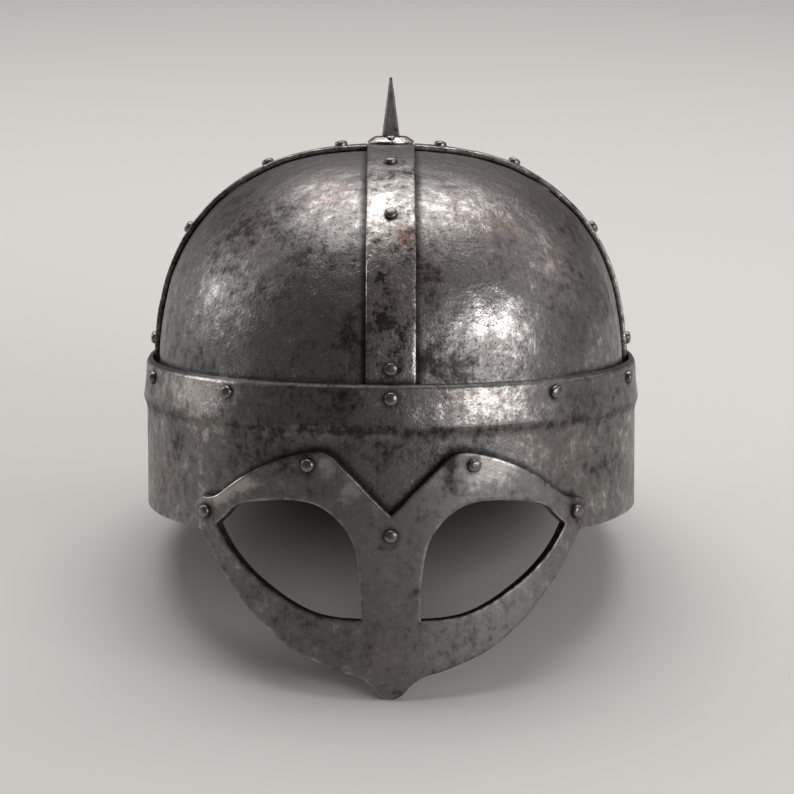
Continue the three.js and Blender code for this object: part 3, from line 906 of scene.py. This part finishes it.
def plan_place(distance):
    """The spot of the plan at a distance from the middle of the front."""
    return [float(np.interp(distance, plan_length, plan_line[:, axis])) for axis in (0, 1)]


def bent(point):
    """The flat plate's x runs round the helmet, its y goes up and its z goes out."""
    before = plan_place(point.x - 1)
    after = plan_place(point.x + 1)
    tangent = Vector((after[0] - before[0], after[1] - before[1], 0)).normalized()
    out = Vector((tangent.y, -tangent.x, 0))
    return Vector((*plan_place(point.x), point.y)) + out * point.z


def filled(outlines):
    """A flat sheet with the first outline round it and the others as holes."""
    bm = bmesh.new()
    for outline in outlines:
        corners = [bm.verts.new(point) for point in outline]
        for start, end in zip(corners, corners[1:] + corners[:1]):
            bm.edges.new((start, end))
    bmesh.ops.triangle_fill(bm, edges=bm.edges[:], use_beauty=True, normal=(0, 0, 1))
    for face in bm.faces:
        if face.normal.z < 0:
            face.normal_flip()
    return bm


def slice_up(bm, spacing):
    """Cuts a mesh by planes across and along, so it can bend smoothly."""
    for axis in (0, 1):
        low = min(vertex.co[axis] for vertex in bm.verts)
        high = max(vertex.co[axis] for vertex in bm.verts)
        direction = Vector((axis == 0, axis == 1, 0))
        for step in range(1, math.ceil((high - low) / spacing)):
            everything = bm.verts[:] + bm.edges[:] + bm.faces[:]
            bmesh.ops.bisect_plane(bm, geom=everything, plane_co=direction * (low + step * spacing),
                                   plane_no=direction)


print("the guard's plan is", round(2 * plan_length[-1]), "mm round")

# %% [markdown]
# ## Brow band
# The band is one ring. Its wall is drawn once as a closed outline: the inside, the rim, the skirt,
# the short step out to a ridge, and the slightly waisted strip above it. Spin carries the outline
# round a circle, and each point then slides out to the helmet's own plan. The skirt is cut away
# behind the eye holes with a boolean, as a file would do it. The cut is a little wider than the
# holes and opens towards the inside, so the skirt doesn't show in them.

# %% Brow band
RAISED_DEPTH = 15.6
RAISED_RELIEF = 1.2
WAIST_RELIEF = 0.36
WAIST_HEIGHT = 7
STEP_HEIGHT = 4.3
TOP_ROUNDING = 2.2
BAND_STEPS = 400
BAND_ROW = 1.7
BAND_CORNER = 0.5
SPIN_RADIUS = 200


def rounded_corner(outset, height, radius_in, radius_up, from_angle, steps=3):
    """Points of a quarter turn round a centre, from an angle on."""
    points = []
    for step in range(steps + 1):
        angle = from_angle + math.pi / 2 * step / steps
        points.append((outset + radius_in * math.cos(angle), height + radius_up * math.sin(angle)))
    return points


def band_profile():
    """Outset and height of the wall's outline. The step is a soft S and the strip a slight hollow."""
    ridge = BAND_HEIGHT - RAISED_DEPTH
    corner = BAND_CORNER
    return [
        *rounded_corner(-BAND_WALL + corner, corner, corner, corner, math.pi),
        *rounded_corner(-corner, corner, corner, corner, 1.5 * math.pi),
        (0, ridge - STEP_HEIGHT - 1),
        (0.12, ridge - STEP_HEIGHT + 0.4),
        (RAISED_RELIEF * 0.55, ridge - STEP_HEIGHT * 0.45),
        (RAISED_RELIEF * 0.95, ridge - 0.6),
        (RAISED_RELIEF, ridge),
        (RAISED_RELIEF * 0.85, ridge + 1.2),
        (WAIST_RELIEF, ridge + WAIST_HEIGHT),
        (WAIST_RELIEF / 2, (ridge + WAIST_HEIGHT + BAND_HEIGHT - TOP_ROUNDING) / 2),
        *rounded_corner(-BAND_WALL, BAND_HEIGHT - TOP_ROUNDING, BAND_WALL, TOP_ROUNDING, 0, 5),
    ]


def brow_band():
    bm = bmesh.new()
    corners = [bm.verts.new((SPIN_RADIUS + outset, 0, height)) for outset, height in band_profile()]
    for start, end in zip(corners, corners[1:] + corners[:1]):
        bm.edges.new((start, end))
    for edge in bm.edges[:]:
        rows = round(edge.calc_length() / BAND_ROW) - 1
        if rows > 0:
            bmesh.ops.subdivide_edges(bm, edges=[edge], cuts=rows)
    bmesh.ops.spin(bm, geom=bm.verts[:] + bm.edges[:], axis=(0, 0, 1), cent=(0, 0, 0),
                   angle=2 * math.pi, steps=BAND_STEPS, use_merge=True)
    for vertex in bm.verts:
        outset = vertex.co.xy.length - SPIN_RADIUS
        vertex.co = plan_point(math.atan2(vertex.co.x, -vertex.co.y), outset, vertex.co.z)
    face_outwards(bm)
    return bm


print(len(band_profile()), "corners on the band's outline")

# %% The cut behind the eye holes
EYE_CUT_MARGIN = 1.5
TEMPLE_CUT_MARGIN = 3
CUT_FLARE = 2.4
CUT_SLICE = 4


def eye_cutter(sideways):
    bm = filled([eye_outline(sideways, EYE_CUT_MARGIN, TEMPLE_CUT_MARGIN)])
    raised = bmesh.ops.extrude_face_region(bm, geom=bm.faces[:])
    depth = GUARD_WALL + CLEARANCE + 2 * BAND_WALL
    for item in raised["geom"]:
        if isinstance(item, bmesh.types.BMVert):
            item.co.z -= depth
            item.co.x *= 1 + CUT_FLARE / GUARD_REACH
    slice_up(bm, CUT_SLICE)
    for vertex in bm.verts:
        vertex.co = bent(vertex.co)
    face_outwards(bm)
    return as_object(bm, "cutter")


cutters = [eye_cutter(sideways) for sideways in (-1, 1)]
band = baked(brow_band(), *[
    ("BOOLEAN", {"operation": "DIFFERENCE", "solver": "EXACT", "object": cutter}) for cutter in cutters
])
for cutter in cutters:
    bpy.data.objects.remove(cutter)
hammer(band)
print(len(band.faces), "faces on the band")

# %% The band's finish, with its painted shadows
# A painted shadow under the ridge: middle height, half height and how much it darkens.
RIDGE_SHADE = (42.2, 2, 0.24)  # middle height, half height, darkening
# Along the guard's edge, the rivets and its own top the band gets painted contact shadow with grime.
guard_edge = [bent(point - Vector((0, 0, GUARD_WALL))) for point in guard_outline()]
covers_of_band = tree_of(guard_edge + rivet_rims + band_top)


def from_rim(vertex):
    return vertex.co.z if faces_out(vertex) else FAR


def band_tone_and_shadow(vertex):
    """A painted shadow darkens the band all round, just under the ridge."""
    middle, half, darkening = RIDGE_SHADE
    ridge_shadow = math.exp(-((vertex.co.z - middle) / half) ** 2)
    return patch("band", vertex.co, TONE) - darkening * ridge_shadow


set_measure(band, "tone", band_tone_and_shadow)
band.normal_update()
finish_piece(band, "iron_brow_band", "band_iron", ["brow_band"], covers_of_band, from_rim)

# %% [markdown]
# ## Spectacle guard
# The outline and its eye holes are filled as a flat sheet and raised to the plate's thickness.
# Three narrow insets, each with a smaller drop, round the edges on the face and the back, and a
# fourth, flat one bounds them. The distance of each ring from the edge goes on the vertices,
# because that is where hands and weather polish the iron. Surfaces that look up are painted
# darker, a painted shade that keeps the light from above from catching them.

# %% Spectacle guard
GUARD_SLICE = 1.8
RINGS = ((0.16, 0.24), (0.36, 0.16), (0.7, 0.07), (0.6, 0))  # width inwards, drop
# Painted shade on surfaces that look up, so the light from above does not catch them.
UPWARD_PAINTED_SHADE = 0.6


def spectacle_guard():
    bm = filled([guard_outline(), eye_outline(1), eye_outline(-1)])
    edge_layer = bm.verts.layers.float.new("edge_mm")
    back = bm.faces[:]
    raised = bmesh.ops.extrude_face_region(bm, geom=back)
    front = [item for item in raised["geom"] if isinstance(item, bmesh.types.BMFace)]
    drop = sum(ring[1] for ring in RINGS)
    for vertex in {corner for face in front for corner in face.verts}:
        vertex.co.z = -drop
    for vertex in {corner for face in back for corner in face.verts}:
        vertex.co.z = -GUARD_WALL + drop
    for face in back:
        face.normal_flip()
    bm.normal_update()
    for faces in (front, back):
        reach = 0
        for width, fall in RINGS:
            bmesh.ops.inset_region(bm, faces=faces, thickness=width, depth=fall, use_even_offset=True,
                                   use_boundary=True)
            reach += width
            for vertex in {corner for face in faces for corner in face.verts}:
                vertex[edge_layer] = reach
    slice_up(bm, GUARD_SLICE)
    for vertex in bm.verts:
        vertex.co = bent(vertex.co)
    face_outwards(bm)
    hammer(bm)
    return bm


# Painted shade: the guard is darker where its surface looks up.
def guard_tone_and_shade(vertex):
    return patch("guard", vertex.co, TONE) - UPWARD_PAINTED_SHADE * max(vertex.normal.z, 0)


guard = spectacle_guard()
guard.normal_update()
set_measure(guard, "tone", guard_tone_and_shade)
finish_piece(guard, "iron_spectacle_guard", "guard_iron", ["spectacle_guard"],
             tree_of(rivet_rims), facing=OUTWARD)

# %% [markdown]
# ## Disc and spike
# The disc is turned, so a profile is spun round its axis: a flat top with painted shade, and a
# sloping rim with a painted highlight towards the sides. The spike is a square point with filed
# corners: a cone with four sides, its long edges bevelled. It is sliced every millimetre, so that
# its sides can wave a little as a file leaves them. Its tang goes down through disc and strap and
# between the plates, and is spread out inside.

# %% Disc
DISC_RADIUS = 9.5
DISC_HEIGHT = 3
DISC_PROFILE = (  # across the radius, up the height
    (0, 0), (0.97, 0), (1, 0.07), (1, 0.24), (0.99, 0.31), (0.96, 0.38), (0.88, 0.55), (0.8, 0.72),
    (0.74, 0.84), (0.69, 0.91), (0.62, 0.95), (0.45, 0.98), (0.25, 1), (0, 1),
)
DISC_TOP = 0.72
# The top gets painted shade and the rim a painted highlight towards the sides.
DISC_PAINTED_SHADE_AND_HIGHLIGHT = (-0.35, 0.3)  # of the top and of the rim
DISC_EDGE = 0.95
RIM_HIGHLIGHT_GAIN = 1.6
SAME_POINT = 1e-4


def spun(profile, steps=48):
    """A closed body turned round Z from rows of radius and height that start and end on the axis."""
    bm = bmesh.new()
    corners = [bm.verts.new((radius, 0, height)) for radius, height in profile]
    for start, end in zip(corners, corners[1:]):
        bm.edges.new((start, end))
    bmesh.ops.spin(bm, geom=bm.verts[:] + bm.edges[:], axis=(0, 0, 1), cent=(0, 0, 0),
                   angle=2 * math.pi, steps=steps, use_merge=True)
    bmesh.ops.remove_doubles(bm, verts=bm.verts[:], dist=SAME_POINT)
    face_outwards(bm)
    return bm


def from_disc_edge(vertex):
    return abs(vertex.co.xy.length / DISC_RADIUS - DISC_EDGE) * DISC_RADIUS


def disc_painted_light(vertex):
    """Painted shade on top, and a painted highlight on the rim towards the sides."""
    top, rim = DISC_PAINTED_SHADE_AND_HIGHLIGHT
    if vertex.co.xy.length <= DISC_TOP * DISC_RADIUS:
        return top
    return rim * min(abs(vertex.co.x) / DISC_RADIUS * RIM_HIGHLIGHT_GAIN, 1)


top_dent = dent(Vector((0, 0, CROWN_TOP)))
disc = spun([(across * DISC_RADIUS, up * DISC_HEIGHT) for across, up in DISC_PROFILE])
set_measure(disc, "edge_mm", from_disc_edge)
set_measure(disc, "tone", disc_painted_light)
bmesh.ops.translate(disc, verts=disc.verts[:], vec=Vector((0, 0, CROWN_TOP + CLEARANCE)) + top_dent)
finish_piece(disc, "iron_spike_disc", "strap_iron", ["spike_disc"])

# %% Spike
SPIKE_HEIGHT = 23 + INWARDS
SPIKE_BASE = 7.1
SPIKE_TIP = 1
SPIKE_CORNER = 0.75
FILING_SIZE = 3
FILING_DEPTH = 0.12
SPIKE_SHARP_ANGLE = 25
square_to_front = Matrix.Rotation(math.pi / 4, 4, "Z")
spike = bmesh.new()
bmesh.ops.create_cone(spike, cap_ends=True, segments=4, radius1=SPIKE_BASE / math.sqrt(2),
                      radius2=SPIKE_TIP / math.sqrt(2), depth=SPIKE_HEIGHT,
                      matrix=Matrix.Translation((0, 0, SPIKE_HEIGHT / 2)) @ square_to_front)
rises = [abs(edge.verts[0].co.z - edge.verts[1].co.z) for edge in spike.edges]
upright_edges = [edge for edge, rise in zip(spike.edges, rises) if rise > SPIKE_HEIGHT / 2]
bmesh.ops.bevel(spike, geom=upright_edges, offset=SPIKE_CORNER, segments=1, profile=0.5,
                affect="EDGES", material=-1)
for vertex in spike.verts:
    if vertex.co.z < SEAT:
        vertex.co.z -= SEAT
for height in range(1, int(SPIKE_HEIGHT)):
    everything = spike.verts[:] + spike.edges[:] + spike.faces[:]
    bmesh.ops.bisect_plane(spike, geom=everything, plane_co=(0, 0, height), plane_no=(0, 0, 1))
print("spike", SPIKE_HEIGHT, "mm high")

# %% Its tang
TANG_RADIUS = 1.2
TANG_TAIL = 4
TANG_TAIL_HEIGHT = 1
TANG_BEND = 0.7
TANG_PLAY = 0.6
tang_under = -DISC_HEIGHT - STRAP_WALL - PLATE_WALL - 3 * CLEARANCE - TANG_PLAY
tang = as_object(spun([
    (0, tang_under - TANG_TAIL_HEIGHT),
    (TANG_TAIL * TANG_BEND, tang_under - TANG_TAIL_HEIGHT * TANG_BEND),
    (TANG_TAIL, tang_under),
    (TANG_RADIUS, tang_under),
    (TANG_RADIUS, SPIKE_BASE / 2),
    (0, SPIKE_BASE / 2),
], ROUND_STEPS), "tang")
spike = baked(spike, ("BOOLEAN", {"operation": "UNION", "solver": "EXACT", "object": tang}))
bpy.data.objects.remove(tang)
filing_shift = Vector((9, 0, 0))
for vertex in spike.verts:
    vertex.co.x += noise.noise(vertex.co / FILING_SIZE) * FILING_DEPTH
    vertex.co.y += noise.noise(vertex.co / FILING_SIZE + filing_shift) * FILING_DEPTH


def from_spike_edge(vertex):
    """Zero on the long corners, where |x| + |y| reaches the full width of the square."""
    half = SPIKE_BASE / 2 + (SPIKE_TIP - SPIKE_BASE) / 2 * vertex.co.z / SPIKE_HEIGHT
    return (2 * half - abs(vertex.co.x) - abs(vertex.co.y)) if vertex.co.z > 0 else FAR


set_measure(spike, "edge_mm", from_spike_edge)
spike_foot = Vector((0, 0, CROWN_TOP + DISC_HEIGHT + 2 * CLEARANCE))
bmesh.ops.translate(spike, verts=spike.verts[:], vec=spike_foot + top_dent)
finish_piece(spike, "iron_spike", "spike_iron", ["spike"], sharpest=SPIKE_SHARP_ANGLE)

# %% [markdown]
# ## Rivets
# A rivet's head was hammered down to a low dome with round shoulders. Its profile is spun, and it is
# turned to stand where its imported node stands. Each head gets its own slight bumps, so no two
# catch the light alike. The rivets that hold the pressed-out feet of the plates reach less far in.

# %% Rivets and pins
TAIL_HEIGHT = 1
HEAD_ROUND_STEPS = 7
HEAD_SQUARENESS = 2.7
HEAD_BUMPS = 0.05
BUMP_SIZE = 1.6
TAIL_BEND = (0.75, 0.6)  # share of the tail's radius, share of its height
PRESSED_RIVETS = ("rivet_band_front_", "rivet_band_back_")


def fastener(kind, length):
    """A fastener whose head's top is at height 0, its head a low dome with round shoulders."""
    seat = -kind["height"] - SEAT
    under = TAIL_HEIGHT - length
    turns = [math.pi / 2 * step / HEAD_ROUND_STEPS for step in range(HEAD_ROUND_STEPS + 1)]
    head = [(
        kind["radius"] * max(math.cos(turn), 0) ** (2 / HEAD_SQUARENESS),
        kind["rounding"] * (math.sin(turn) ** (2 / HEAD_SQUARENESS) - 1),
    ) for turn in turns]
    return spun([
        (0, under - TAIL_HEIGHT),
        (kind["tail"] * TAIL_BEND[0], under - TAIL_HEIGHT * TAIL_BEND[1]),
        (kind["tail"], under),
        (kind["shank"], under),
        (kind["shank"], seat),
        (kind["radius"], seat),
        *head,
    ], ROUND_STEPS)


for kind, places in ((RIVET, rivets), (PIN, pins)):
    for node, top, outward, length in places:
        shorter = PRESSED_OUT if node.startswith(PRESSED_RIVETS) else 0
        bm = fastener(kind, length - shorter)
        for vertex in bm.verts:
            if vertex.co.z > -kind["rounding"]:
                bumps = noise.noise_vector(vertex.co / BUMP_SIZE + top) * HEAD_BUMPS
                vertex.co += Vector((bumps.x, bumps.y, min(bumps.z, 0)))
        turned = outward.to_track_quat("Z", "Y").to_matrix().to_4x4()
        bm.transform(Matrix.Translation(top + dent(top)) @ turned)
        finish_piece(bm, f"iron_{node}", "rivet_iron", [node])

# %% [markdown]
# ## Floor and light
# The helmet stands on plain pale paper, which scatters light evenly and shows no shine. The
# highlights on the crown and the band tell where the light comes from: a low soft box at the front
# right, a weaker one further round on that side, one on the left and a large one high at the back.

# %% Floor
FLOOR_SIZE = 12
PAPER_COLOUR = "#d2cfca"
PAPER_ROUGHNESS = 0.9
sheet = bmesh.new()
bmesh.ops.create_grid(sheet, x_segments=1, y_segments=1, size=FLOOR_SIZE / 2)
floor = as_object(sheet, "floor")
matt_paper = bpy.data.materials.new("matt_paper")
matt_paper.use_nodes = True
paper = matt_paper.node_tree.nodes["Principled BSDF"]
paper.inputs["Base Color"].default_value = linear(PAPER_COLOUR)
paper.inputs["Roughness"].default_value = PAPER_ROUGHNESS
floor.data.materials.append(matt_paper)
print("floor", FLOOR_SIZE, "m wide")

# %% Lights
LIGHTS = (  # name, side angle from the front, height angle, distance m, width m, height m, watts
    ("soft_box_right", 48, 21, 1.3, 1.0, 0.42, 7.5),
    ("soft_box_far_right", 112, 30, 1.3, 0.5, 0.8, 2),
    ("soft_box_left", -110, 20, 1.3, 0.7, 0.6, 3.4),
    ("soft_box_top", -178, 66, 1.3, 1.3, 1.1, 16),
)
ROOM_COLOUR = "#8a8a8c"
ROOM_STRENGTH = 0.45
aim = stand @ Vector((0, 0, BAND_HEIGHT))
for name, side, height, distance, width, tall, watts in LIGHTS:
    light_data = bpy.data.lights.new(name, "AREA")
    light_data.shape = "RECTANGLE"
    light_data.size = width
    light_data.size_y = tall
    light_data.energy = watts
    light = bpy.data.objects.new(name, light_data)
    turn = math.radians(side)
    rise = math.radians(height)
    away = Vector((math.sin(turn) * math.cos(rise), -math.cos(turn) * math.cos(rise), math.sin(rise)))
    light.location = aim + away * distance
    light.rotation_euler = away.to_track_quat("Z", "Y").to_euler()
    bpy.context.scene.collection.objects.link(light)
world = bpy.data.worlds.new("studio")
world.use_nodes = True
surroundings = world.node_tree.nodes["Background"]
surroundings.inputs["Color"].default_value = linear(ROOM_COLOUR)
surroundings.inputs["Strength"].default_value = ROOM_STRENGTH
bpy.context.scene.world = world
bpy.context.scene.view_settings.view_transform = "Standard"
print(len(LIGHTS), "lights")
